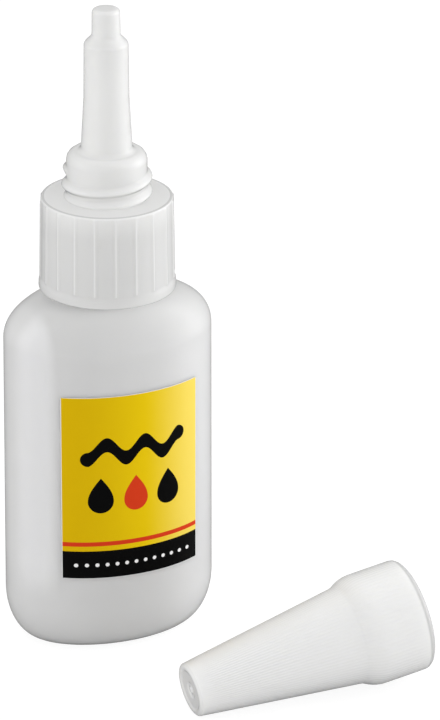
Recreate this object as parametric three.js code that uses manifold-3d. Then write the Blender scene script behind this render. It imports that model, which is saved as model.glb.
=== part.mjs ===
// A small squeeze bottle of instant glue: an oval bottle with a threaded neck, a ribbed screw
// closure that carries a long nozzle, and the cone cap of the nozzle lying beside the bottle.
// Millimetres, +Z up. The origin is the middle of the bottle's base, and the label faces -Y.

import * as THREE from 'three';
import { mergeVertices } from 'three/addons/utils/BufferGeometryUtils.js';
import Module from 'manifold-3d';

const wasm = await Module();
wasm.setup();

// Bottle body, an oval that leans in a little from its foot to its shoulder
const bodyWidth = 32.7;
const bodyDepth = 23.3;
const bodyDraft = 0.15;
const bodyHeight = 54.9;
const footRoundSide = 5;
const footRoundHeight = 8.2;
const shoulderHeight = 6.2;
const shoulderFullWide = 2.1;
const shoulderFullDeep = 1.3;
const bottleWall = 1;
const baseThickness = 1.2;

// Neck of the bottle and the thread that the closure screws on
const neckRadius = 7.7;
const neckWall = 1.4;
const neckHeight = 12.1;
const threadPitch = 3;
const threadHeight = 0.8;
const threadTurns = 1.5;
const neckThreadRise = 4.5;

// Form of every thread: half widths as shares of the pitch, its root in the wall, its run-out in turns
const threadRootShare = 1 / 4;
const threadCrestShare = 1 / 10;
const threadSink = 0.6;
const threadRunOut = 1 / 8;

// Clearances: crest of a thread to the wall it runs along, and a piece that rests on its neighbour
const threadClearance = 0.35;
const seatGap = 0.3;

// Glue inside the bottle, up to its level below the neck
const headspace = 14.1;

// Label on the front face
const labelWidth = 21.7;
const labelHeight = 29.5;
const labelRise = 13.05;
const labelShift = -0.2;
const labelThickness = 0.15;
const labelCorner = 0.3;

// Seal liner between the lip of the neck and the deck of the closure
const linerThickness = 1;

// Collar of the closure
const collarWall = 1.03;
const collarFlare = 0.2;
const collarLift = 0.9;
const collarFootRound = 0.3;
const deckThickness = 1.5;
const deckRound = 0.3;
const gripRibCount = 20;
const gripRibWidth = 0.35;
const gripRibProud = 0.18;
const gripRibSink = 0.3;
const gripRibPhase = THREE.MathUtils.degToRad(3.5);
const plainBandHeight = 1.8;
const plainBandProud = 0.25;

// Spigot on the deck, with the thread for the cap
const spigotRadius = 6.05;
const spigotHeight = 7.2;
const spigotRound = 1.45;
const spigotWall = 1.4;
const spigotPitch = 2.2;
const spigotThreadHeight = 0.72;
const spigotThreadTurns = 1.7;
const spigotThreadRise = 0.6;

// Nozzle on the spigot, uncut, so that its tip is closed
const nozzleFootRadius = 3.72;
const nozzleTopRadius = 3.31;
const nozzleHeight = 16.8;
const nozzleFillet = 0.7;
const nozzleStep = 1.2;
const nozzleWall = 1.2;
const tipRadius = 2.08;
const tipHeight = 4.1;
const tipRound = 0.6;
const tipBore = 0.9;
const tipSeal = 1.3;

// Cap that screws on the spigot and covers the nozzle
const capWall = 1.1;
const capEndRadius = 4.1;
const capEndRound = 0.46;
const capEndThickness = 1.6;
const capTipRoom = 5.8;
const capConeRadius = 7.5;
const capStepLength = 1.9;
const capSkirtSpare = 1.55;
const capSkirtWall = 1.4;
const capMouthFlare = 0.05;
const capThreadTurns = 1.3;

// Where the cap lies: its small end from the bottle's front face, its shift along X and its turn
const capAside = 22.7;
const capShift = -1.02;
const capTurn = THREE.MathUtils.degToRad(0.7);

// Plain finish of each piece
const finishes = {
  bottle: { color: 0xf1f1ee, roughness: 0.35 },
  glue: { color: 0xf4f2e8, roughness: 0.1 },
  front_label: { color: 0xf2c21a, roughness: 0.4 },
  seal_liner: { color: 0xdedcd4, roughness: 0.7 },
  nozzle_closure: { color: 0xf3f3f1, roughness: 0.35 },
  overcap: { color: 0xf4f4f2, roughness: 0.4 },
};

// Fineness of the round faces
const ovalSides = 44;
const roundSides = 40;
const arcSteps = 2;
const footSteps = 5;
const shoulderSteps = 6;
const threadStepsPerTurn = 28;

// Levels and radii that follow from the sizes above
const shoulderBase = bodyHeight - shoulderHeight;
const neckTop = bodyHeight + neckHeight;
const neckBore = neckRadius - neckWall;
const glueLevel = bodyHeight - headspace;
const neckThreadStart = bodyHeight + neckThreadRise;
const collarBore = neckRadius + threadHeight + threadClearance;
const collarRadius = collarBore + collarWall;
const collarBandRadius = collarRadius + collarFlare;
const collarFootRadius = collarBandRadius + plainBandProud;
const collarFoot = bodyHeight + collarLift;
const collarBandTop = collarFoot + plainBandHeight;
const linerFoot = neckTop + seatGap;
const deckUnder = linerFoot + linerThickness + seatGap;
const deckTop = deckUnder + deckThickness;
const spigotBore = spigotRadius - spigotWall;
const spigotTop = deckTop + spigotHeight;
const barrelTop = spigotTop + nozzleHeight;
const tipFoot = barrelTop + nozzleStep;
const tipTop = tipFoot + tipHeight;
const capBore = spigotRadius + spigotThreadHeight + threadClearance;
const capSkirtRadius = capBore + capSkirtWall;
const capSkirtLength = spigotHeight + capSkirtSpare;
const capLength = tipTop - deckTop + capTipRoom + capEndThickness;

// A closed geometry as a solid, with its shared corners merged and empty triangles dropped
function toSolid(geometry) {
  const bare = geometry.clone();
  bare.deleteAttribute('normal');
  bare.deleteAttribute('uv');
  const merged = mergeVertices(bare);
  const corners = merged.index.array;
  const kept = [];
  for (let i = 0; i < corners.length; i += 3) {
    const [a, b, c] = corners.slice(i, i + 3);
    if (a !== b && b !== c && c !== a) kept.push(a, b, c);
  }
  return new wasm.Manifold(new wasm.Mesh({
    numProp: 3,
    vertProperties: Float32Array.from(merged.attributes.position.array),
    triVerts: Uint32Array.from(kept),
  }));
}

// A solid back as a geometry
function toGeometry(solid) {
  const { vertProperties, triVerts } = solid.getMesh();
  const geometry = new THREE.BufferGeometry();
  geometry.setAttribute('position', new THREE.BufferAttribute(vertProperties, 3));
  geometry.setIndex(new THREE.BufferAttribute(triVerts, 1));
  geometry.computeVertexNormals();
  return geometry;
}

// A solid turned about Z from a profile of radius and height that runs upwards
function turned(profile) {
  const lathe = new THREE.LatheGeometry(profile.getPoints(arcSteps), roundSides);
  return toSolid(lathe.rotateX(Math.PI / 2));
}

// A skin over rings of equally many points, closed by a fan at each end
function skinned(rings) {
  const count = rings[0].length;
  const positions = rings.flat().flatMap((point) => point.toArray());
  const triangles = [];
  for (let ring = 0; ring < rings.length - 1; ring += 1) {
    for (let side = 0; side < count; side += 1) {
      const next = (side + 1) % count;
      const low = ring * count;
      const high = low + count;
      triangles.push(low + side, low + next, high + next);
      triangles.push(low + side, high + next, high + side);
    }
  }
  const last = (rings.length - 1) * count;
  for (let side = 1; side < count - 1; side += 1) {
    triangles.push(0, side + 1, side);
    triangles.push(last, last + side, last + side + 1);
  }
  const geometry = new THREE.BufferGeometry();
  geometry.setAttribute('position', new THREE.Float32BufferAttribute(positions, 3));
  geometry.setIndex(triangles);
  return toSolid(geometry);
}

// One level of the bottle: an ellipse of points at a height
function ovalRing(halfWidth, halfDepth, height) {
  const oval = new THREE.EllipseCurve(0, 0, halfWidth, halfDepth);
  const points = oval.getPoints(ovalSides).slice(0, ovalSides);
  return points.map((point) => new THREE.Vector3(point.x, point.y, height));
}

// How far the shoulder still reaches out at a share of its rise. A fullness of 2 is a quarter round,
// and less than 2 slopes more.
function shoulderReach(rise, fullness) {
  return Math.max(1 - rise ** fullness, 0) ** (1 / fullness);
}

// The bottle's body as a closed form, inset from the outside, with its own floor and top radius
function bodyForm(inset, floor, topRadius, top) {
  const lean = (height) => (bodyDraft * height) / shoulderBase;
  const rings = [];
  const footSide = Math.max(footRoundSide - inset, 0);
  for (let step = 0; step <= footSteps; step += 1) {
    const angle = (step / footSteps) * (Math.PI / 2);
    const height = floor + (footRoundHeight - floor) * (1 - Math.cos(angle));
    const drawnIn = inset + lean(height) + footSide * (1 - Math.sin(angle));
    rings.push(ovalRing(bodyWidth / 2 - drawnIn, bodyDepth / 2 - drawnIn, height));
  }
  const shoulderRise = shoulderHeight - inset;
  const sideInset = inset + bodyDraft;
  for (let step = 0; step <= shoulderSteps; step += 1) {
    const rise = Math.sin((step / shoulderSteps) * (Math.PI / 2));
    const wideReach = bodyWidth / 2 - sideInset - topRadius;
    const deepReach = bodyDepth / 2 - sideInset - topRadius;
    const halfWidth = topRadius + wideReach * shoulderReach(rise, shoulderFullWide);
    const halfDepth = topRadius + deepReach * shoulderReach(rise, shoulderFullDeep);
    rings.push(ovalRing(halfWidth, halfDepth, shoulderBase + shoulderRise * rise));
  }
  rings.push(ovalRing(topRadius, topRadius, top));
  return skinned(rings);
}

// A right-hand thread ridge on a wall; side is 1 on an outer wall and -1 on a bore.
// Its ends run out into the wall.
function threadRidge({ wallRadius, side, height, pitch, turns, start }) {
  const rootHalf = pitch * threadRootShare;
  const crestHalf = pitch * threadCrestShare;
  const root = wallRadius - side * threadSink;
  const steps = Math.ceil(turns * threadStepsPerTurn);
  const rings = [];
  for (let step = 0; step <= steps; step += 1) {
    const turn = (step / steps) * turns;
    const full = Math.min(turn / threadRunOut, (turns - turn) / threadRunOut, 1);
    const crest = root + side * ((threadSink + height) * full + (threadSink / 2) * (1 - full));
    const middle = start + pitch * turn;
    const section = [[root, rootHalf], [crest, crestHalf], [crest, -crestHalf], [root, -rootHalf]];
    const angle = 2 * Math.PI * turn;
    rings.push(section.map(([radius, offset]) => new THREE.Vector3(
      radius * Math.cos(angle),
      radius * Math.sin(angle),
      middle + side * offset,
    )));
  }
  return skinned(rings);
}

// Bottle: the oval form with its neck and thread, hollowed down to its floor
function makeBottle() {
  const outside = bodyForm(0, 0, neckRadius, neckTop);
  const thread = threadRidge({
    wallRadius: neckRadius,
    side: 1,
    height: threadHeight,
    pitch: threadPitch,
    turns: threadTurns,
    start: neckThreadStart,
  });
  const hollow = bodyForm(bottleWall, baseThickness, neckBore, neckTop + seatGap);
  return outside.add(thread).subtract(hollow);
}

// Glue: the hollow of the bottle, clear of its wall, up to the level of the liquid
function makeGlue() {
  const inset = bottleWall + seatGap;
  const charge = bodyForm(inset, baseThickness + seatGap, neckBore - seatGap, neckTop);
  const filled = new THREE.BoxGeometry(bodyWidth, bodyDepth, glueLevel);
  return charge.intersect(toSolid(filled.translate(0, 0, glueLevel / 2)));
}

// Label: a sheet that follows the front face, cut to a rectangle with small round corners
function makeLabel() {
  const outer = bodyForm(-seatGap - labelThickness, -seatGap, neckRadius, neckTop);
  const inner = bodyForm(-seatGap, -2 * seatGap, neckRadius - seatGap, neckTop + seatGap);
  const half = labelWidth / 2 - labelCorner;
  const low = labelRise + labelCorner;
  const high = labelRise + labelHeight - labelCorner;
  const outline = new THREE.Shape();
  outline.absarc(half, low, labelCorner, -Math.PI / 2, 0);
  outline.absarc(half, high, labelCorner, 0, Math.PI / 2);
  outline.absarc(-half, high, labelCorner, Math.PI / 2, Math.PI);
  outline.absarc(-half, low, labelCorner, Math.PI, 1.5 * Math.PI);
  const window = new THREE.ExtrudeGeometry(outline, {
    depth: bodyDepth,
    curveSegments: arcSteps,
    bevelEnabled: false,
  });
  window.rotateX(Math.PI / 2).translate(labelShift, 0, 0);
  return outer.subtract(inner).intersect(toSolid(window));
}

// Seal liner: a flat ring as wide as the collar's bore allows
function makeLiner() {
  const outer = collarBore - seatGap;
  const top = linerFoot + linerThickness;
  const ring = new THREE.Path();
  ring.moveTo(spigotBore, linerFoot);
  ring.lineTo(outer, linerFoot);
  ring.lineTo(outer, top);
  ring.lineTo(spigotBore, top);
  ring.lineTo(spigotBore, linerFoot);
  return turned(ring);
}

// The outside of the closure: collar with a proud band at its foot, flat deck, round-edged spigot, nozzle and tip
function closureOutside() {
  const outline = new THREE.Path();
  const footCentre = collarFootRadius - collarFootRound;
  outline.moveTo(0, collarFoot);
  outline.lineTo(footCentre, collarFoot);
  outline.absarc(footCentre, collarFoot + collarFootRound, collarFootRound, -Math.PI / 2, 0);
  outline.lineTo(collarBandRadius, collarBandTop);
  outline.absarc(collarRadius - deckRound, deckTop - deckRound, deckRound, 0, Math.PI / 2);
  outline.lineTo(spigotRadius, deckTop);
  outline.absarc(spigotRadius - spigotRound, spigotTop - spigotRound, spigotRound, 0, Math.PI / 2);
  const filletCentre = nozzleFootRadius + nozzleFillet;
  outline.absarc(filletCentre, spigotTop + nozzleFillet, nozzleFillet, -Math.PI / 2, -Math.PI, true);
  const bendHeight = spigotTop + nozzleHeight / 2;
  outline.quadraticCurveTo(nozzleTopRadius, bendHeight, nozzleTopRadius, barrelTop);
  outline.lineTo(tipRadius, tipFoot);
  outline.absarc(tipRadius - tipRound, tipTop - tipRound, tipRound, 0, Math.PI / 2);
  outline.lineTo(0, tipTop);
  return turned(outline);
}

// The inside of the closure: the bore over the neck, then the spigot's and the nozzle's, up to the seal
function closureInside() {
  const outline = new THREE.Path();
  const open = collarFoot - seatGap;
  outline.moveTo(0, open);
  outline.lineTo(collarBore, open);
  outline.lineTo(collarBore, deckUnder);
  outline.lineTo(spigotBore, deckUnder);
  outline.lineTo(spigotBore, spigotTop - spigotWall);
  outline.lineTo(nozzleFootRadius - nozzleWall, spigotTop);
  outline.lineTo(nozzleTopRadius - nozzleWall, barrelTop - nozzleStep);
  outline.lineTo(tipBore, tipFoot);
  outline.lineTo(tipBore, tipTop - tipSeal);
  outline.lineTo(0, tipTop - tipSeal);
  return turned(outline);
}

// Thin grip ribs round the collar, from the plain band at its foot to its round top edge
function gripRibs() {
  const top = deckTop - deckRound;
  const length = top - collarBandTop;
  const depth = gripRibProud + gripRibSink;
  const rib = new THREE.BoxGeometry(depth, gripRibWidth, length);
  rib.rotateY(-Math.atan2(collarFlare, length));
  const middle = collarRadius + collarFlare / 2;
  rib.translate(middle + gripRibProud - depth / 2, 0, (collarBandTop + top) / 2);
  const ribs = [];
  for (let count = 0; count < gripRibCount; count += 1) {
    const angle = gripRibPhase + (count / gripRibCount) * 2 * Math.PI;
    ribs.push(toSolid(rib.clone().rotateZ(angle)));
  }
  return ribs.reduce((all, one) => all.add(one));
}

// Nozzle closure: one moulding with a thread in its collar and another round its spigot
function makeClosure() {
  const collarThread = threadRidge({
    wallRadius: collarBore,
    side: -1,
    height: threadHeight,
    pitch: threadPitch,
    turns: threadTurns,
    start: neckThreadStart - threadPitch / 2,
  });
  const spigotThread = threadRidge({
    wallRadius: spigotRadius,
    side: 1,
    height: spigotThreadHeight,
    pitch: spigotPitch,
    turns: spigotThreadTurns,
    start: deckTop + spigotThreadRise,
  });
  const shell = closureOutside().add(spigotThread).add(gripRibs()).subtract(closureInside());
  return shell.add(collarThread);
}

// Overcap, upright with its mouth at height 0: skirt, step, cone and a flat small end
function makeCap() {
  const stepTop = capSkirtLength + capStepLength;
  const outline = new THREE.Path();
  outline.moveTo(0, 0);
  outline.lineTo(capSkirtRadius + capMouthFlare, 0);
  outline.lineTo(capSkirtRadius, capSkirtLength);
  outline.lineTo(capConeRadius, stepTop);
  outline.lineTo(capEndRadius, capLength - capEndRound);
  outline.lineTo(capEndRadius - capEndRound, capLength);
  outline.lineTo(0, capLength);
  const roof = capLength - capEndThickness;
  const hollow = new THREE.Path();
  hollow.moveTo(0, -seatGap);
  hollow.lineTo(capBore, -seatGap);
  hollow.lineTo(capBore, capSkirtLength);
  hollow.lineTo(capConeRadius - capWall, stepTop);
  hollow.lineTo(capEndRadius - capWall, roof);
  hollow.lineTo(0, roof);
  const thread = threadRidge({
    wallRadius: capBore,
    side: -1,
    height: spigotThreadHeight,
    pitch: spigotPitch,
    turns: capThreadTurns,
    start: spigotThreadRise - seatGap + spigotPitch / 2,
  });
  return turned(outline).subtract(turned(hollow)).add(thread);
}

// A named mesh with its own plain finish
function piece(name, solid) {
  const material = new THREE.MeshStandardMaterial(finishes[name]);
  const mesh = new THREE.Mesh(toGeometry(solid), material);
  mesh.name = name;
  return mesh;
}

// The cap lies on the edge of its small end and on the fullest part of its skirt
function layCap(cap) {
  const reach = capLength - capEndRound;
  const skirtSlope = Math.atan2(capSkirtRadius - capEndRadius, reach - capSkirtLength);
  const mouthSlope = Math.atan2(capSkirtRadius + capMouthFlare - capEndRadius, reach);
  const tilt = Math.max(skirtSlope, mouthSlope);
  const endHeight = capEndRadius * Math.cos(tilt) - capEndRound * Math.sin(tilt);
  cap.rotation.y = -(Math.PI / 2 + tilt);
  cap.position.set(capLength * Math.cos(tilt), 0, endHeight + capLength * Math.sin(tilt));
  const lying = new THREE.Group();
  lying.add(cap);
  lying.rotation.z = capTurn;
  lying.position.set(capShift, -(bodyDepth / 2 + capAside), 0);
  return lying;
}

const glueBottle = new THREE.Group();
glueBottle.add(
  piece('bottle', makeBottle()),
  piece('glue', makeGlue()),
  piece('front_label', makeLabel()),
  piece('seal_liner', makeLiner()),
  piece('nozzle_closure', makeClosure()),
  layCap(piece('overcap', makeCap())),
);

export default glueBottle;
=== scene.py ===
from math import atan2, cos, hypot, pi, radians, sin, sqrt, tan

import bmesh
import bpy
from mathutils import Matrix, Quaternion, Vector


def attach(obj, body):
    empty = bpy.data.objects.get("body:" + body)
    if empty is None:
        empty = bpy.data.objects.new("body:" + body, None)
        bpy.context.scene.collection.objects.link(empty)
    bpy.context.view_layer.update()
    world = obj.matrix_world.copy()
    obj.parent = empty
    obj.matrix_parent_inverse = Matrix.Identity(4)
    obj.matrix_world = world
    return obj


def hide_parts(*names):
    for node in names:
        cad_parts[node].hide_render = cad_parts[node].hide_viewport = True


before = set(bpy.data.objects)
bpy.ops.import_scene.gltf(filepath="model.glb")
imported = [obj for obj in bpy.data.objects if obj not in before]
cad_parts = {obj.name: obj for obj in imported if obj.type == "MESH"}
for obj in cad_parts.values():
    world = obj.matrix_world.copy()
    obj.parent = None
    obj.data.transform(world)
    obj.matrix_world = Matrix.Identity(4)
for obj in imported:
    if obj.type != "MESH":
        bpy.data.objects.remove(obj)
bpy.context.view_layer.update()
scene = bpy.context.scene
scene.view_settings.view_transform = "Standard"
mm = 0.001  # sizes below are in millimetres unless a note says otherwise
slack = 0.02  # how near to a wall's radius a vertex lies that belongs to it
mergeGap = 1e-7  # in metres

# Camera at the photograph's angle: a long lens that looks down on the bottle's right front

cameraView = {
    "target": (15.53, -6.62, 43.6), "turn": 0.403, "tilt": 0.395, "roll": 0.003,  # angles in radians
    "distance": 820, "lens": 272.35, "clipEnd": 20}  # the clip in metres


def placeCamera(view):
    camera = bpy.data.objects.new("camera", bpy.data.cameras.new("camera"))
    scene.collection.objects.link(camera)
    level = cos(view["tilt"])
    forward = Vector((sin(view["turn"]) * level, cos(view["turn"]) * level, -sin(view["tilt"])))
    camera.data.lens = view["lens"]
    camera.data.clip_end = view["clipEnd"]
    camera.location = (Vector(view["target"]) - forward * view["distance"]) * mm
    camera.rotation_mode = "QUATERNION"
    camera.rotation_quaternion = forward.to_track_quat("-Z", "Y") @ Quaternion((0, 0, 1), view["roll"])
    scene.camera = camera


placeCamera(cameraView)
print("camera placed")


# Small tools for the pieces

def smoothStep(low, high, value):
    t = min(max((value - low) / (high - low), 0), 1)
    return t * t * (3 - 2 * t)


def ringEdges(verts):
    chosen = set(verts)
    return [e for e in {e for v in verts for e in v.link_edges} if chosen.issuperset(e.verts)]


def loftRings(bm, rings, sides):  # rings of (half width, half depth, height), one extruded from the last
    wide, deep, high = rings[0]
    loop = bmesh.ops.create_circle(bm, segments=sides, radius=mm)["verts"]
    bmesh.ops.scale(bm, vec=(wide, deep, 1), verts=loop)
    bmesh.ops.translate(bm, vec=(0, 0, high * mm), verts=loop)
    firstLoop = loop
    for nextWide, nextDeep, nextHigh in rings[1:]:
        grown = bmesh.ops.extrude_edge_only(bm, edges=ringEdges(loop))["geom"]
        loop = [g for g in grown if isinstance(g, bmesh.types.BMVert)]
        bmesh.ops.scale(bm, vec=(nextWide / wide, nextDeep / deep, 1), verts=loop)
        bmesh.ops.translate(bm, vec=(0, 0, (nextHigh - high) * mm), verts=loop)
        wide, deep, high = nextWide, nextDeep, nextHigh
    for end in (firstLoop, loop):
        lid = bmesh.ops.contextual_create(bm, geom=ringEdges(end))["faces"]
        bmesh.ops.poke(bm, faces=lid)
    bmesh.ops.recalc_face_normals(bm, faces=bm.faces[:])


def drawProfile(bm, corners, roundSteps=4):  # corners: radius, height, rounding, cuts of the edge that follows
    places = [Vector((radius * mm, 0, height * mm)) for radius, height, _, _ in corners]
    verts = [bm.verts.new(place) for place in places]
    for pair in zip(verts, verts[1:]):
        bm.edges.new(pair)
    for place, corner in zip(places, corners):
        if corner[2]:
            vert = min(bm.verts, key=lambda v: (v.co - place).length)
            bmesh.ops.bevel(bm, geom=[vert], offset=corner[2] * mm, segments=roundSteps, profile=0.5,
                            affect="VERTICES", material=-1)
    for start, end, corner in zip(places, places[1:], corners):
        if corner[3]:
            middle = (start + end) / 2
            edge = min(bm.edges, key=lambda e: ((e.verts[0].co + e.verts[1].co) / 2 - middle).length)
            bmesh.ops.subdivide_edges(bm, edges=[edge], cuts=corner[3])


def spinProfile(bm, sectors, columns, phase=0):  # one sector of columns is spun, then copied round
    sector = 2 * pi / sectors
    bmesh.ops.rotate(bm, verts=bm.verts[:], cent=(0, 0, 0), matrix=Matrix.Rotation(phase, 3, "Z"))
    bmesh.ops.spin(bm, geom=bm.verts[:] + bm.edges[:], cent=(0, 0, 0), axis=(0, 0, 1),
                   angle=sector, steps=columns)
    bmesh.ops.remove_doubles(bm, verts=bm.verts[:], dist=mergeGap)
    bmesh.ops.spin(bm, geom=bm.verts[:] + bm.edges[:] + bm.faces[:], cent=(0, 0, 0), axis=(0, 0, 1),
                   angle=2 * pi - sector, steps=sectors - 1, use_duplicate=True)
    bmesh.ops.remove_doubles(bm, verts=bm.verts[:], dist=mergeGap)
    bmesh.ops.recalc_face_normals(bm, faces=bm.faces[:])


def threadLift(thread, angle, height, crest=1.5):  # how far a rounded thread stands off its wall at a place
    lift = 0
    turn = (angle / (2 * pi)) % 1
    while turn <= thread["turns"]:
        middle = thread["start"] + thread["pitch"] * turn
        across = abs(height - middle) / thread["half"]
        if across < 1:
            ends = smoothStep(0, thread["runOut"], min(turn, thread["turns"] - turn))
            lift = max(lift, thread["height"] * ends * (1 - across * across) ** crest)
        turn += 1
    return lift


def pushOut(vert, distance):  # along the radius, by millimetres
    reach = hypot(vert.co.x, vert.co.y)
    vert.co.x += vert.co.x / reach * distance * mm
    vert.co.y += vert.co.y / reach * distance * mm


def finishPiece(bm, name, body, node, material):
    for face in bm.faces:
        face.smooth = True
    mesh = bpy.data.meshes.new(name)
    bm.to_mesh(mesh)
    bm.free()
    mesh.materials.append(material)
    piece = bpy.data.objects.new(name, mesh)
    scene.collection.objects.link(piece)
    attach(piece, body)
    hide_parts(node)
    print(name, "made with", len(mesh.polygons), "faces")
    return piece


# Node helpers for the materials

def newMaterial(name):
    material = bpy.data.materials.new(name)
    material.use_nodes = True
    return material, material.node_tree.nodes["Principled BSDF"]


def addNode(tree, kind, inputs=None, **settings):
    node = tree.nodes.new(kind)
    for key, value in settings.items():
        setattr(node, key, value)
    for key, value in (inputs or {}).items():
        if isinstance(value, bpy.types.NodeSocket):
            tree.links.new(value, node.inputs[key])
        else:
            node.inputs[key].default_value = value
    return node


def calc(tree, operation, *values):
    return addNode(tree, "ShaderNodeMath", dict(enumerate(values)), operation=operation).outputs[0]


def diagonal(tree, one, other):
    squares = calc(tree, "ADD", calc(tree, "MULTIPLY", one, one), calc(tree, "MULTIPLY", other, other))
    return calc(tree, "SQRT", squares)


def within(tree, value, low, high):
    return calc(tree, "MULTIPLY", calc(tree, "GREATER_THAN", value, low), calc(tree, "LESS_THAN", value, high))


def ramp(tree, value, low, high, start=0, end=1):
    return addNode(tree, "ShaderNodeMapRange", {0: value, 1: low, 2: high, 3: start, 4: end}).outputs[0]


def blend(tree, value, low, high):  # eases from 0 at low to 1 at high, also where low is the greater
    return addNode(tree, "ShaderNodeMapRange", {0: value, 1: low, 2: high},
                   interpolation_type="SMOOTHSTEP").outputs[0]


def mixColour(tree, share, low, high):
    node = addNode(tree, "ShaderNodeMix", {0: share, 6: low, 7: high}, data_type="RGBA")
    return node.outputs[2]


def objectPlace(tree):
    return addNode(tree, "ShaderNodeTexCoord").outputs["Object"]


def placeParts(tree, axes):  # the place on the piece along each axis, in millimetres
    split = addNode(tree, "ShaderNodeSeparateXYZ", {0: objectPlace(tree)})
    return [calc(tree, "MULTIPLY", split.outputs[axis], 1 / mm) for axis in axes]


def texture(tree, kind, settings):  # laid by the place on the piece
    return addNode(tree, kind, {"Vector": objectPlace(tree), **settings}).outputs[0]


# Moulded plastic: cloudy colour, uneven sheen, fine skin texture and a thin veil that draws the outline

moulded = {
    "cloud": {"Scale": 90, "Detail": 3, "Roughness": 0.55}, "haze": (0.35, 0.65),
    "fine": {"Scale": 2600, "Detail": 2, "Roughness": 0.6}, "fineShare": 0.35,
    "soft": {"Scale": 260, "Detail": 1, "Roughness": 0.5}, "sheenSwing": 0.08, "relief": 0.08,
    "ior": 1.5, "specular": 0.4, "veilIor": 1.005, "scatter": (1, 1, 0.96)}


def makeMouldedSkin(look):
    group = bpy.data.node_groups.new("mouldedSkin", "ShaderNodeTree")
    colour, number = "NodeSocketColor", "NodeSocketFloat"
    for name, kind in (("Colour", colour), ("Cloud Colour", colour), ("Sheen", number)):
        group.interface.new_socket(name, in_out="INPUT", socket_type=kind)
    for name, kind in (("Colour", colour), ("Roughness", number), ("Height", number)):
        group.interface.new_socket(name, in_out="OUTPUT", socket_type=kind)
    given = group.nodes.new("NodeGroupInput")
    made = group.nodes.new("NodeGroupOutput")
    cloud, fine, soft = (texture(group, "ShaderNodeTexNoise", look[key]) for key in ("cloud", "fine", "soft"))
    haze = ramp(group, cloud, *look["haze"])
    group.links.new(mixColour(group, haze, given.outputs[0], given.outputs[1]), made.inputs[0])
    uneven = calc(group, "MULTIPLY_ADD", soft, look["sheenSwing"], -look["sheenSwing"] / 2)
    group.links.new(calc(group, "ADD", given.outputs[2], uneven), made.inputs[1])
    softer = calc(group, "MULTIPLY", soft, 1 - look["fineShare"])
    group.links.new(calc(group, "MULTIPLY_ADD", fine, look["fineShare"], softer), made.inputs[2])
    return group


mouldedSkin = makeMouldedSkin(moulded)
print("moulded skin made")


def makePlastic(name, look, marks):  # the marks lay more colour over the skin's, mostly painted light and shade
    material, shader = newMaterial(name)
    tree = material.node_tree
    skin = addNode(tree, "ShaderNodeGroup", node_tree=mouldedSkin)
    skin.inputs["Colour"].default_value = (*look["colour"], 1)
    skin.inputs["Cloud Colour"].default_value = (*look["cloud"], 1)
    skin.inputs["Sheen"].default_value = look["roughness"]
    bump = addNode(tree, "ShaderNodeBump", {
        "Height": skin.outputs["Height"], "Strength": look["bump"], "Distance": moulded["relief"] * mm})
    tree.links.new(marks(tree, skin.outputs["Colour"]), shader.inputs["Base Color"])
    tree.links.new(skin.outputs["Roughness"], shader.inputs["Roughness"])
    tree.links.new(bump.outputs[0], shader.inputs["Normal"])
    shader.inputs["IOR"].default_value = moulded["ior"]
    shader.inputs["Specular IOR Level"].default_value = moulded["specular"]
    shader.inputs["Coat Weight"].default_value = 1
    shader.inputs["Coat IOR"].default_value = moulded["veilIor"]
    shader.inputs["Coat Tint"].default_value = (*look["veil"], 1)
    shader.inputs["Subsurface Weight"].default_value = 1
    shader.inputs["Subsurface Radius"].default_value = moulded["scatter"]
    shader.inputs["Subsurface Scale"].default_value = look["depth"] * mm
    return material


# Bottle: oval body, rounded foot, arched shoulder, threaded neck, hollow inside

bottle = {
    "halfWidth": 16.35, "halfDepth": 11.65, "draft": 0.15, "height": 54.9, "wall": 1, "floor": 1.2,
    "sides": 128, "footSide": 5, "footHeight": 8.2, "footSteps": 16, "wallRings": (0.25, 0.5, 0.75),
    "shoulder": 6.2, "fullWide": 2.1, "fullDeep": 1.3, "shoulderSteps": 24,
    "neckRadius": 7.7, "neckBore": 6.3, "neckTop": 67, "neckRows": 40,
    "lipRound": 0.35, "lipAngles": (pi / 6, pi / 3, pi / 2), "boreRound": 0.2,
    "push": 0.6,  # the base is pushed up: shares of the foot's width, with shares of the push
    "underRings": ((0.05, 1), (0.5, 1), (0.8, 0.95), (0.9, 0.5), (0.95, 0.12)),
    "floorRings": ((0.8, 0.5), (0.05, 1)),
    "thread": {"start": 59.4, "pitch": 3, "turns": 1.5, "height": 0.8, "half": 0.95, "runOut": 0.12},
    "plastic": {"colour": (0.737, 0.737, 0.732), "cloud": (0.752, 0.752, 0.747), "roughness": 0.38,
                "bump": 0.12, "veil": (0.88, 0.88, 0.88), "depth": 2.1},
    # painted light: the left colour is a painted highlight band down the left side, the right colour paints the
    # lit right side whiter
    "left": {"out": (11.2, 13.4), "up": (8, 16), "fore": (1.5, 5), "edge": 0.15,
             "colour": (0.98, 0.98, 0.975, 1)},
    "right": {"out": (3, 12), "up": (53, 45), "colour": (0.88, 0.88, 0.875, 1)}}


def paintedSideLight(tree, colour):  # painted light: the narrow sides are painted whiter where the side lamps light them, most on the left
    left, right = bottle["left"], bottle["right"]
    across, deep, high = placeParts(tree, "XYZ")
    paintedLeftLight = blend(tree, calc(tree, "MULTIPLY", across, -1), *left["out"])
    fore = blend(tree, calc(tree, "MULTIPLY", deep, -1), *left["fore"])
    paintedLeftLight = calc(tree, "MULTIPLY", paintedLeftLight, calc(tree, "MULTIPLY_ADD", fore, 1 - left["edge"], left["edge"]))
    paintedLeftLight = calc(tree, "MULTIPLY", paintedLeftLight, blend(tree, high, *left["up"]))
    paintedRightLight = calc(tree, "MULTIPLY", blend(tree, across, *right["out"]), blend(tree, high, *right["up"]))
    return mixColour(tree, paintedRightLight, mixColour(tree, paintedLeftLight, colour, left["colour"]), right["colour"])


bottlePlastic = makePlastic("bottlePlastic", bottle["plastic"], paintedSideLight)


def ovalAt(size, height, inset):  # half axes of the body at a height
    lean = size["draft"] * height / (size["height"] - size["shoulder"])
    return size["halfWidth"] - inset - lean, size["halfDepth"] - inset - lean


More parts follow.
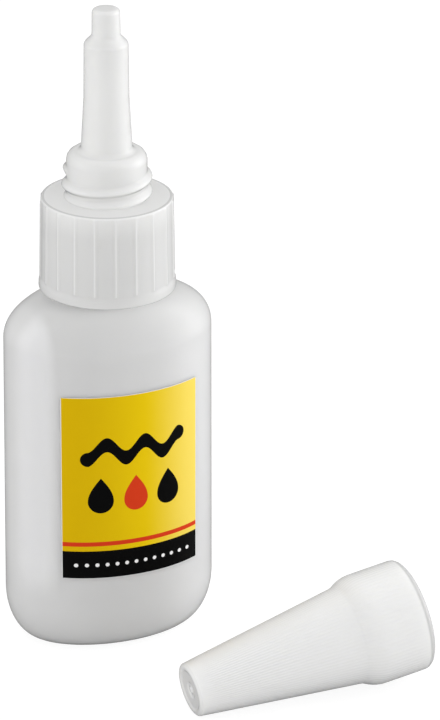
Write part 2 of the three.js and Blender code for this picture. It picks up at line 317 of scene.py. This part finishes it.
def shoulderReach(rise, fullness):  # a fullness of 2 is a quarter round, less than 2 slopes more
    return max(1 - rise ** fullness, 0) ** (1 / fullness)


def bodyRings(size, inset, floor, topRadius):
    rings = []
    for step in range(size["footSteps"] + 1):
        angle = step / size["footSteps"] * pi / 2
        height = floor + (size["footHeight"] - floor) * (1 - cos(angle))
        drawn = (size["footSide"] - inset) * (1 - sin(angle))
        wide, deep = ovalAt(size, height, inset)
        rings.append((wide - drawn, deep - drawn, height))
    base = size["height"] - size["shoulder"]
    for share in size["wallRings"]:
        height = size["footHeight"] + (base - size["footHeight"]) * share
        rings.append((*ovalAt(size, height, inset), height))
    wide, deep = ovalAt(size, base, inset)
    for step in range(size["shoulderSteps"] + 1):
        rise = sin(step / size["shoulderSteps"] * pi / 2)
        rings.append((topRadius + (wide - topRadius) * shoulderReach(rise, size["fullWide"]),
                      topRadius + (deep - topRadius) * shoulderReach(rise, size["fullDeep"]),
                      base + (size["shoulder"] - inset) * rise))
    return rings


def neckRings(size):  # up the neck, over its lip and into its bore
    lip, top, foot = size["lipRound"], size["neckTop"], size["height"]
    rise = top - lip - foot
    rows = range(1, size["neckRows"] + 1)
    rounds = [(size["neckRadius"], foot + rise * row / size["neckRows"]) for row in rows]
    rounds += [(size["neckRadius"] - lip * (1 - cos(a)), top - lip * (1 - sin(a))) for a in size["lipAngles"]]
    rounds += [(size["neckBore"] + size["boreRound"], top), (size["neckBore"], top - size["boreRound"])]
    return [(radius, radius, height) for radius, height in rounds]


def makeBottle(size):
    outer = bodyRings(size, 0, 0, size["neckRadius"])
    footWide, footDeep, _ = outer[0]
    under = [(footWide * share, footDeep * share, size["push"] * lift) for share, lift in size["underRings"]]
    inner = bodyRings(size, size["wall"], size["floor"], size["neckBore"])[::-1]
    innerWide, innerDeep, _ = inner[-1]
    centre = [(innerWide * share, innerDeep * share, size["floor"] + size["push"] * lift)
              for share, lift in size["floorRings"]]
    bm = bmesh.new()
    loftRings(bm, under + outer + neckRings(size) + inner + centre, size["sides"])
    for vert in bm.verts:
        reach = hypot(vert.co.x, vert.co.y) / mm
        height = vert.co.z / mm
        if height > size["height"] and reach > size["neckRadius"] - slack:
            pushOut(vert, threadLift(size["thread"], atan2(vert.co.y, vert.co.x), height))
    return finishPiece(bm, "bottle_body", "bottle", "bottle", bottlePlastic)


makeBottle(bottle)


# Nozzle closure: ribbed collar, deck, threaded spigot, tapered nozzle and closed tip in one moulding

closure = {
    "foot": 55.8, "footRadius": 10.33, "footRound": 0.3, "boreRows": 34,
    "bandRadius": 10.08, "plainBand": 1.8, "bandLean": 0.05, "bandShare": 0.6, "bandRows": 2,
    "topRadius": 9.88, "bore": 8.85, "deckUnder": 68.6, "underRound": 0.3, "deck": 70.1, "deckRound": 0.3,
    "ribCount": 20, "ribPhase": radians(3.5), "ribHalf": radians(1.7), "ribProud": 0.18, "ribRows": 14,
    "ribFootEase": (-0.2, 0.2), "ribTopEase": (-0.1, 0.15), "columns": 12,
    "spigotRadius": 6.05, "spigotBore": 4.65, "spigotTop": 77.3, "spigotRound": 1.45, "spigotRows": 32,
    "spigotFoot": 0.3, "spigotFootRound": 0.28, "spigotNarrows": 1.4,
    "nozzleFoot": 3.86, "nozzleTop": 3.31, "nozzleSwell": 0.08, "nozzleFillet": 0.7, "nozzleWall": 1.2,
    "nozzleRows": 2, "barrelTop": 94.1, "barrelRound": 0.35, "barrelNarrows": 1.2,
    "tipFoot": 95.3, "tipFootRound": 0.3, "tipTop": 99.4, "tipRadius": 2.08, "tipSwell": 0.06,
    "tipRound": 0.6, "tipRows": 1, "tipBore": 0.9, "tipSeal": 1.3, "softRound": 0.2, "seam": 0.05,
    "threadFrom": 0.25, "threadTo": 0.5, "boreEnd": 0.4,
    "spigotThread": {"start": 68.9, "pitch": 2.2, "turns": 2.5, "height": 0.72, "half": 0.85, "runOut": 0.12},
    "collarThread": {"start": 57.9, "pitch": 3, "turns": 1.5, "height": 0.8, "half": 0.95, "runOut": 0.12},
    "plastic": {"colour": (0.795, 0.795, 0.792), "cloud": (0.805, 0.805, 0.802), "roughness": 0.36,
                "bump": 0.14, "veil": (0.88, 0.88, 0.88), "depth": 1.5},
    # painted shade: this colour greys the collar below the deck, where the neck inside shades it
    "darkerTone": {"below": (0.2, 4), "colour": (0.735, 0.735, 0.732, 1)},
    # painted highlight: this colour whitens the crests of the grip ribs
    "rib": {"foot": 0.1, "proud": (0.09, 0.16), "colour": (0.82, 0.82, 0.817, 1)},
    "rim": {"width": 0.5, "below": 0.06, "above": 0.1, "colour": (0.58, 0.58, 0.58, 1)}}


def ribSpan(size):  # heights of the foot and the top of the grip ribs
    return size["foot"] + size["plainBand"], size["deck"] - size["deckRound"]


def collarPaintedLight(tree, colour):  # painted shade greys the collar below the deck, painted highlights whiten its ribs, a fine dark line runs round the deck
    darkerTone, rib, rim = closure["darkerTone"], closure["rib"], closure["rim"]
    across, deep, high = placeParts(tree, "XYZ")
    reach = diagonal(tree, across, deep)
    ribFoot, ribTop = ribSpan(closure)
    wall = ramp(tree, high, ribFoot, ribTop, closure["bandRadius"], closure["topRadius"])
    paintedCollarShade = blend(tree, high, *(closure["deck"] - below for below in darkerTone["below"]))
    paintedRibHighlight = calc(tree, "MULTIPLY", calc(tree, "GREATER_THAN", high, ribFoot + rib["foot"]),
                 ramp(tree, calc(tree, "SUBTRACT", reach, wall), *rib["proud"]))
    onRim = calc(tree, "MULTIPLY", calc(tree, "GREATER_THAN", reach, closure["topRadius"] - rim["width"]),
                 within(tree, high, closure["deck"] - rim["below"], closure["deck"] + rim["above"]))
    for mask, mark in ((paintedCollarShade, darkerTone), (paintedRibHighlight, rib), (onRim, rim)):
        colour = mixColour(tree, mask, colour, mark["colour"])
    return colour


closurePlastic = makePlastic("closurePlastic", closure["plastic"], collarPaintedLight)


def closureProfile(size):  # from the tip down the outside, then up the inside
    soft, seam = size["softRound"], size["seam"]
    bend = size["spigotTop"] + (size["barrelTop"] - size["spigotTop"]) / 2
    bandTop, ribTop = ribSpan(size)
    bandEdge = size["foot"] + size["plainBand"] * size["bandShare"]
    seal = size["tipTop"] - size["tipSeal"]
    return [
        (0, size["tipTop"], 0, size["tipRows"]),
        (size["tipRadius"], size["tipTop"], size["tipRound"], 0),
        (size["tipRadius"] + size["tipSwell"], size["tipFoot"], size["tipFootRound"], 0),
        (size["nozzleTop"], size["barrelTop"], size["barrelRound"], 0),
        (size["nozzleTop"] + size["nozzleSwell"], bend, 0, size["nozzleRows"]),
        (size["nozzleFoot"], size["spigotTop"], size["nozzleFillet"], 0),
        (size["spigotRadius"], size["spigotTop"], size["spigotRound"], 0),
        (size["spigotRadius"], size["spigotTop"] - size["spigotRound"] - seam, 0, size["spigotRows"]),
        (size["spigotRadius"], size["deck"] + size["spigotFoot"], 0, 0),
        (size["spigotRadius"], size["deck"], size["spigotFootRound"], 0),
        (size["topRadius"], size["deck"], size["deckRound"], 0),
        (size["topRadius"], ribTop - seam, 0, size["ribRows"]),
        (size["bandRadius"], bandTop, soft, 0),
        (size["footRadius"] - size["bandLean"], bandEdge, soft, size["bandRows"]),
        (size["footRadius"], size["foot"], size["footRound"], 0),
        (size["bore"], size["foot"], soft, size["boreRows"]),
        (size["bore"], size["deckUnder"], size["underRound"], 0),
        (size["spigotBore"], size["deckUnder"], soft, 0),
        (size["spigotBore"], size["spigotTop"] - size["spigotNarrows"], soft, 0),
        (size["nozzleFoot"] - size["nozzleWall"], size["spigotTop"], soft, 0),
        (size["nozzleTop"] - size["nozzleWall"], size["barrelTop"] - size["barrelNarrows"], soft, 0),
        (size["tipBore"], size["tipFoot"], 0, 0),
        (size["tipBore"], seal, soft, 0),
        (0, seal, 0, 0)]


def ribLift(size, angle, height):  # how far a grip rib stands off the collar at a place
    pitch = 2 * pi / size["ribCount"]
    off = abs((angle - size["ribPhase"] + pitch / 2) % pitch - pitch / 2)
    if off >= size["ribHalf"]:
        return 0
    ribFoot, ribTop = ribSpan(size)
    rises = smoothStep(*(ribFoot + ease for ease in size["ribFootEase"]), height)
    falls = 1 - smoothStep(*(ribTop + ease for ease in size["ribTopEase"]), height)
    return size["ribProud"] * rises * falls * cos(off / size["ribHalf"] * pi / 2)


def makeClosure(size):
    bm = bmesh.new()
    drawProfile(bm, closureProfile(size))
    spinProfile(bm, size["ribCount"], size["columns"], size["ribPhase"])
    ribFoot = ribSpan(size)[0] + size["ribFootEase"][0]
    threadFrom, threadTo = size["deck"] + size["threadFrom"], size["spigotTop"] - size["threadTo"]
    for vert in bm.verts:
        reach = hypot(vert.co.x, vert.co.y) / mm
        height = vert.co.z / mm
        angle = atan2(vert.co.y, vert.co.x)
        if reach > size["topRadius"] - size["deckRound"] and ribFoot < height < size["deck"]:
            pushOut(vert, ribLift(size, angle, height))
        elif threadFrom < height < threadTo and reach > size["spigotRadius"] - slack:
            pushOut(vert, threadLift(size["spigotThread"], angle, height))
        elif abs(reach - size["bore"]) < slack and height < size["deckUnder"] - size["boreEnd"]:
            pushOut(vert, -threadLift(size["collarThread"], angle, height))
    return finishPiece(bm, "nozzle_closure_body", "nozzle_closure", "nozzle_closure",
                       closurePlastic)


milky = makeClosure(closure)  # light passes through its milky plastic, so it throws next to no shade
milky.visible_shadow = milky.visible_diffuse = False


# Overcap: small flat end with a gate mark, finely ribbed cone and skirt, open mouth with a thread

cap = {
    "endRadius": 4.1, "endRound": 0.46, "endWall": 1.6, "endSwell": 0.06, "endBand": 0.7, "length": 36.7,
    "gate": ((0, 0.12, 0), (0.35, 0.1, 0.1), (0.55, 0.35, 0.1), (1, 0.38, 0.15),  # radius, depth, rounding
             (1.35, 0.2, 0.12), (2.9, 0.2, 0.15), (3.25, 0, 0.15)),
    "coneRadius": 7.5, "coneRound": 0.35, "coneRows": 12, "wall": 1.1, "insideRows": 4, "insideRound": 0.4,
    "roofRound": 0.5, "step": 1.9, "skirtRadius": 8.52, "skirtRound": 1.1, "skirtLength": 8.75,
    "skirtRows": 5, "flare": 0.05, "mouthRound": 0.9, "mouthInside": 0.3,
    "bore": 7.12, "boreRows": 26, "boreEnd": 0.5, "lieAt": (-1.02, -34.35), "turn": radians(0.7),
    "ribs": 84, "ribProud": 0.02, "columns": 4,  # the ribs fade out at both ends
    "mouthFade": (1, 2.4), "endFade": (1, 3),
    "thread": {"start": 1.4, "pitch": 2.2, "turns": 1.3, "height": 0.72, "half": 0.8, "runOut": 0.12},
    "plastic": {"colour": (0.885, 0.885, 0.88), "cloud": (0.893, 0.893, 0.889), "roughness": 0.4,
                "bump": 0.16, "veil": (0.885, 0.885, 0.885), "depth": 1.2},
    # painted shade: the end colour greys the flat end; the mouth colour darkens the last half millimetre at the
    # mouth
    "end": {"depth": 1, "colour": (0.83, 0.83, 0.83, 1)},
    "mouth": {"short": (0.45, 0.05), "colour": (0.62, 0.62, 0.62, 1)}}


def capTilt(size):  # it lies on the edge of its small end and on the fullest part of its skirt
    along = size["length"] - size["endRound"] - size["skirtLength"]
    return atan2(size["skirtRadius"] - size["endRadius"], along)


def endShadeAndDarkMouth(tree, colour):  # painted shade greys the flat end, which faces left and down and gets less light; the mouth's edge is painted darker
    end, mouth = cap["end"], cap["mouth"]
    across, high = placeParts(tree, "XZ")
    lean = calc(tree, "MULTIPLY", high, tan(capTilt(cap)))
    along = calc(tree, "ADD", calc(tree, "SUBTRACT", across, cap["lieAt"][0]), lean)
    fromEnd = calc(tree, "MULTIPLY", along, cos(capTilt(cap)))
    colour = mixColour(tree, calc(tree, "LESS_THAN", fromEnd, end["depth"]), colour, end["colour"])
    onMouth = blend(tree, fromEnd, *(cap["length"] - short for short in mouth["short"]))
    return mixColour(tree, onMouth, colour, mouth["colour"])


capPlastic = makePlastic("capPlastic", cap["plastic"], endShadeAndDarkMouth)


def capProfile(size):  # from the middle of the small end down the outside, then up the inside
    length, stepTop = size["length"], size["skirtLength"] + size["step"]
    roof = length - size["endWall"]
    gate = [(radius, length - depth, rounding, 0) for radius, depth, rounding in size["gate"]]
    return gate + [
        (size["endRadius"], length, size["endRound"], 0),
        (size["endRadius"] + size["endSwell"], length - size["endBand"], 0, size["coneRows"]),
        (size["coneRadius"], stepTop, size["coneRound"], 0),
        (size["skirtRadius"], size["skirtLength"], size["skirtRound"], size["skirtRows"]),
        (size["skirtRadius"] + size["flare"], 0, size["mouthRound"], 0),
        (size["bore"], 0, size["mouthInside"], size["boreRows"]),
        (size["bore"], size["skirtLength"], size["insideRound"], 0),
        (size["coneRadius"] - size["wall"], stepTop, size["insideRound"], size["insideRows"]),
        (size["endRadius"] - size["wall"], roof, size["roofRound"], 0),
        (0, roof, 0, 0)]


def makeCap(size):
    length, stepTop = size["length"], size["skirtLength"] + size["step"]
    taper = (size["coneRadius"] - size["endRadius"]) / (length - stepTop)
    bm = bmesh.new()
    drawProfile(bm, capProfile(size))
    spinProfile(bm, size["ribs"], size["columns"])
    for vert in bm.verts:
        reach = hypot(vert.co.x, vert.co.y) / mm
        height = vert.co.z / mm
        angle = atan2(vert.co.y, vert.co.x)
        midWall = size["coneRadius"] - size["wall"] / 2 - (height - stepTop) * taper
        if height < size["skirtLength"] - size["boreEnd"] and abs(reach - size["bore"]) < slack:
            pushOut(vert, -threadLift(size["thread"], angle, height))
        elif reach > max(midWall, size["endRadius"] - slack):
            ends = smoothStep(*size["mouthFade"], height) * smoothStep(*size["endFade"], length - height)
            pushOut(vert, size["ribProud"] * ends * cos(angle * size["ribs"]))
    tilt = capTilt(size)
    endHeight = size["endRadius"] * cos(tilt) - size["endRound"] * sin(tilt)
    mouth = Vector((length * cos(tilt), 0, endHeight + length * sin(tilt)))
    lay = (Matrix.Translation(Vector((*size["lieAt"], 0)) * mm) @ Matrix.Rotation(size["turn"], 4, "Z")
           @ Matrix.Translation(mouth * mm) @ Matrix.Rotation(-(pi / 2 + tilt), 4, "Y"))
    bmesh.ops.transform(bm, matrix=lay, verts=bm.verts[:])
    return finishPiece(bm, "overcap_body", "overcap", "overcap", capPlastic)


makeCap(cap)


# Front label: printed film that follows the front face

label = {
    "width": 21.7, "height": 29.5, "rise": 13.05, "shift": -0.2, "corner": 0.3, "cornerSteps": 5,
    "film": 0.06, "lift": 0.02, "columns": 36, "rows": 24, "crease": 0.6,  # the crease in radians
    # painted light: the yellow is painted darker gold towards the left and paler, a painted sheen from the
    # right lamp, towards the right
    "paintedShadeGold": (0.64, 0.41, 0.002, 1), "yellowField": (0.76, 0.53, 0.004, 1), "paintedShadeEase": (-10, 4),
    "paintedSheenPale": (0.84, 0.65, 0.12, 1), "paintedSheenEase": (1, 11),
    "black": (0.0025, 0.0025, 0.0025, 1), "red": (0.62, 0.045, 0.012, 1), "white": (0.8, 0.8, 0.8, 1),
    "margin": 0.06, "bandTop": 4.5, "stripe": (5.3, 6),
    "beadAt": 20.6, "beadHalf": 1.15, "beadReach": 7.2, "beadSwing": 1.15, "beadWave": 1.05,
    "dropsAt": ((-5.4, "black"), (0, "red"), (5.4, "black")),
    "dropFoot": 12.6, "dropRadius": 1.9, "dropTall": 3.8,
    "dotAt": 2.2, "dotPitch": 1.5, "dotRadius": 0.3, "dotReach": 9.8,
    "grain": {"Scale": 420, "Detail": 3}, "grainShare": 0.12, "grainBump": 0.05, "grainRelief": 0.1,
    "roughness": 0.4, "specular": 0.02}


def dropMask(tree, size, aside, up):  # round below, drawn to a point above
    radius = size["dropRadius"]
    rise = calc(tree, "SUBTRACT", up, size["dropFoot"])
    rest = calc(tree, "MULTIPLY_ADD", calc(tree, "MULTIPLY", rise, rise), -1, radius ** 2)
    below = calc(tree, "SQRT", calc(tree, "MAXIMUM", rest, 0))
    turn = calc(tree, "MINIMUM", calc(tree, "MULTIPLY", rise, pi / 2 / size["dropTall"]), pi / 2)
    above = calc(tree, "MULTIPLY", calc(tree, "COSINE", turn), radius)
    upper = calc(tree, "GREATER_THAN", rise, 0)
    half = addNode(tree, "ShaderNodeMix", {0: upper, 2: below, 3: above}).outputs[0]
    return calc(tree, "LESS_THAN", calc(tree, "ABSOLUTE", aside), half)


def beadMask(tree, size, across, up):  # a wavy line with round ends
    along = calc(tree, "MAXIMUM", calc(tree, "MINIMUM", across, size["beadReach"]), -size["beadReach"])
    wave = calc(tree, "SINE", calc(tree, "MULTIPLY", along, size["beadWave"]))
    rise = calc(tree, "SUBTRACT", up, calc(tree, "MULTIPLY_ADD", wave, size["beadSwing"], size["beadAt"]))
    off = diagonal(tree, rise, calc(tree, "SUBTRACT", across, along))
    return calc(tree, "LESS_THAN", off, size["beadHalf"])


def dotMask(tree, size, across, up):  # a row of dots
    step = calc(tree, "WRAP", across, size["dotPitch"] / 2, -size["dotPitch"] / 2)
    off = diagonal(tree, step, calc(tree, "SUBTRACT", up, size["dotAt"]))
    inRow = within(tree, across, -size["dotReach"], size["dotReach"])
    return calc(tree, "MULTIPLY", calc(tree, "LESS_THAN", off, size["dotRadius"]), inRow)


def marginMask(tree, size, across, up):  # the cut edge of the film
    fromMiddle = calc(tree, "ABSOLUTE", calc(tree, "SUBTRACT", up, size["height"] / 2))
    aside = calc(tree, "SUBTRACT", size["width"] / 2, calc(tree, "ABSOLUTE", across))
    inside = calc(tree, "MINIMUM", aside, calc(tree, "SUBTRACT", size["height"] / 2, fromMiddle))
    return calc(tree, "LESS_THAN", inside, size["margin"])


def makeLabelFilm(size):
    material, shader = newMaterial("labelFilm")
    tree = material.node_tree
    grain = texture(tree, "ShaderNodeTexNoise", size["grain"])
    side, high = placeParts(tree, "XZ")
    across, up = calc(tree, "SUBTRACT", side, size["shift"]), calc(tree, "SUBTRACT", high, size["rise"])
    # painted shade to the left, painted sheen to the right
    inked = mixColour(tree, blend(tree, across, *size["paintedShadeEase"]), size["paintedShadeGold"], size["yellowField"])
    inked = mixColour(tree, blend(tree, across, *size["paintedSheenEase"]), inked, size["paintedSheenPale"])
    inked = mixColour(tree, calc(tree, "MULTIPLY", grain, size["grainShare"]), inked, size["yellowField"])
    inked = mixColour(tree, within(tree, up, *size["stripe"]), inked, size["red"])
    inked = mixColour(tree, calc(tree, "LESS_THAN", up, size["bandTop"]), inked, size["black"])
    inked = mixColour(tree, beadMask(tree, size, across, up), inked, size["black"])
    for middle, ink in size["dropsAt"]:
        aside = calc(tree, "SUBTRACT", across, middle)
        inked = mixColour(tree, dropMask(tree, size, aside, up), inked, size[ink])
    inked = mixColour(tree, dotMask(tree, size, across, up), inked, size["white"])
    inked = mixColour(tree, marginMask(tree, size, across, up), inked, size["white"])
    tree.links.new(inked, shader.inputs["Base Color"])
    bump = addNode(tree, "ShaderNodeBump", {
        "Height": grain, "Strength": size["grainBump"], "Distance": size["grainRelief"] * mm})
    tree.links.new(bump.outputs[0], shader.inputs["Normal"])
    shader.inputs["Roughness"].default_value = size["roughness"]
    shader.inputs["Specular IOR Level"].default_value = size["specular"]
    return material


def makeLabel(size, body):
    bm = bmesh.new()
    bmesh.ops.create_grid(bm, x_segments=1, y_segments=1, size=0.5 * mm)
    bmesh.ops.scale(bm, vec=(size["width"], size["height"], 1), verts=bm.verts[:])
    bmesh.ops.bevel(bm, geom=bm.verts[:], offset=size["corner"] * mm, segments=size["cornerSteps"],
                    profile=0.5, affect="VERTICES", material=-1)
    cuts = ((size["width"], size["columns"], (1, 0, 0)), (size["height"], size["rows"], (0, 1, 0)))
    for along, count, axis in cuts:
        for step in range(1, count):
            cut = Vector(axis) * (step / count - 0.5) * along * mm
            film = bm.verts[:] + bm.edges[:] + bm.faces[:]
            bmesh.ops.bisect_plane(bm, geom=film, plane_co=cut, plane_no=axis)
    bmesh.ops.solidify(bm, geom=bm.faces[:], thickness=-size["film"] * mm)
    for vert in bm.verts:  # bent round the body's front
        out = size["lift"] + vert.co.z / mm
        height = size["rise"] + size["height"] / 2 + vert.co.y / mm
        wide, deep = ovalAt(body, height, -out)
        across = size["shift"] + vert.co.x / mm
        vert.co = Vector((across, -deep * sqrt(1 - (across / wide) ** 2), height)) * mm
    bmesh.ops.recalc_face_normals(bm, faces=bm.faces[:])
    bm.normal_update()
    for edge in bm.edges:
        edge.smooth = edge.calc_face_angle(0) < size["crease"]
    return finishPiece(bm, "front_label_film", "bottle", "front_label", makeLabelFilm(size))


makeLabel(label, bottle)


# Inner pieces keep their solids and get finishes of their own

glue = {"darkerTone": (0.86, 0.85, 0.8, 1), "thick": (0.9, 0.89, 0.85, 1), "swirl": {"Scale": 60, "Detail": 2},
        "roughness": 0.08}
liner = {"cell": (0.7, 0.7, 0.66, 1), "skin": (0.78, 0.78, 0.75, 1), "cells": {"Scale": 3500},
         "bump": 0.3, "relief": 0.1, "roughness": 0.75}


def makeGlueLiquid(look):
    material, shader = newMaterial("glueLiquid")
    tree = material.node_tree
    swirl = texture(tree, "ShaderNodeTexNoise", look["swirl"])
    tree.links.new(mixColour(tree, swirl, look["darkerTone"], look["thick"]), shader.inputs["Base Color"])
    shader.inputs["Roughness"].default_value = look["roughness"]
    return material


def makeLinerFoam(look):
    material, shader = newMaterial("linerFoam")
    tree = material.node_tree
    cells = texture(tree, "ShaderNodeTexVoronoi", look["cells"])
    tree.links.new(mixColour(tree, cells, look["cell"], look["skin"]), shader.inputs["Base Color"])
    bump = addNode(tree, "ShaderNodeBump", {
        "Height": cells, "Strength": look["bump"], "Distance": look["relief"] * mm})
    tree.links.new(bump.outputs[0], shader.inputs["Normal"])
    shader.inputs["Roughness"].default_value = look["roughness"]
    return material


for node, material in (("glue", makeGlueLiquid(glue)), ("seal_liner", makeLinerFoam(liner))):
    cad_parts[node].data.materials.clear()
    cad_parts[node].data.materials.append(material)
print("inner pieces dressed")


# Pale floor, soft lamps and a white surround

studio = {  # the floor's radius and the height that the lamps aim at are in metres
    "world": 0.87, "floorColour": (0.85, 0.85, 0.85), "floorRadius": 4, "floorSides": 96,
    "floorRoughness": 0.9, "floorGlow": 1.08, "shownShare": 0.85, "glossShare": 0.2, "lampAim": 0.04}
lamps = {  # round the object from the camera's side in degrees, up in degrees, away and size in metres
    "left": {"round": -78, "up": 12, "away": 0.6, "size": (0.35, 0.6), "power": 1},
    "right": {"round": 103, "up": 14, "away": 0.6, "size": (0.4, 0.6), "power": 2.6},
    "topBack": {"round": 180, "up": 60, "away": 0.75, "size": (0.7, 0.5), "power": 0.95}}


def shownRays(tree, look):  # where the white surround shows: to the camera, through and, more faintly, mirrored
    ray = addNode(tree, "ShaderNodeLightPath")
    straight = calc(tree, "MAXIMUM", ray.outputs["Is Camera Ray"], ray.outputs["Is Transmission Ray"])
    mirrored = calc(tree, "MULTIPLY", ray.outputs["Is Glossy Ray"], look["glossShare"])
    return calc(tree, "MAXIMUM", straight, mirrored)


def makeFloor(look):
    bm = bmesh.new()
    bmesh.ops.create_circle(bm, cap_ends=True, segments=look["floorSides"], radius=look["floorRadius"])
    mesh = bpy.data.meshes.new("floor")
    bm.to_mesh(mesh)
    bm.free()
    floor = bpy.data.objects.new("floor", mesh)
    scene.collection.objects.link(floor)
    material, shader = newMaterial("floorPaper")
    tree = material.node_tree
    shader.inputs["Base Color"].default_value = (*look["floorColour"], 1)
    shader.inputs["Roughness"].default_value = look["floorRoughness"]
    shader.inputs["Specular IOR Level"].default_value = 0
    glow = addNode(tree, "ShaderNodeEmission", {"Color": (1, 1, 1, 1), "Strength": look["floorGlow"]})
    shown = calc(tree, "MULTIPLY", shownRays(tree, look), look["shownShare"])
    mixed = addNode(tree, "ShaderNodeMixShader", {0: shown, 1: shader.outputs[0], 2: glow.outputs[0]})
    tree.links.new(mixed.outputs[0], tree.nodes["Material Output"].inputs["Surface"])
    mesh.materials.append(material)


def makeWorld(look):
    world = bpy.data.worlds.new("studioWorld")
    world.use_nodes = True
    scene.world = world
    tree = world.node_tree
    back = tree.nodes["Background"]
    back.inputs["Color"].default_value = (1, 1, 1, 1)
    tree.links.new(ramp(tree, shownRays(tree, look), 0, 1, look["world"], 1), back.inputs["Strength"])


def placeLamp(name, look, aim):
    data = bpy.data.lights.new(name, "AREA")
    data.shape = "RECTANGLE"
    data.size, data.size_y = look["size"]
    data.energy = look["power"]
    lamp = bpy.data.objects.new(name, data)
    scene.collection.objects.link(lamp)
    around, up = cameraView["turn"] + pi - radians(look["round"]), radians(look["up"])
    towards = Vector((sin(around) * cos(up), cos(around) * cos(up), sin(up)))
    lamp.location = Vector((0, 0, aim)) + towards * look["away"]
    lamp.rotation_mode = "QUATERNION"
    lamp.rotation_quaternion = (-towards).to_track_quat("-Z", "Y")


makeFloor(studio)
makeWorld(studio)
for name, look in lamps.items():
    placeLamp(name, look, studio["lampAim"])
print("floor and lamps placed")
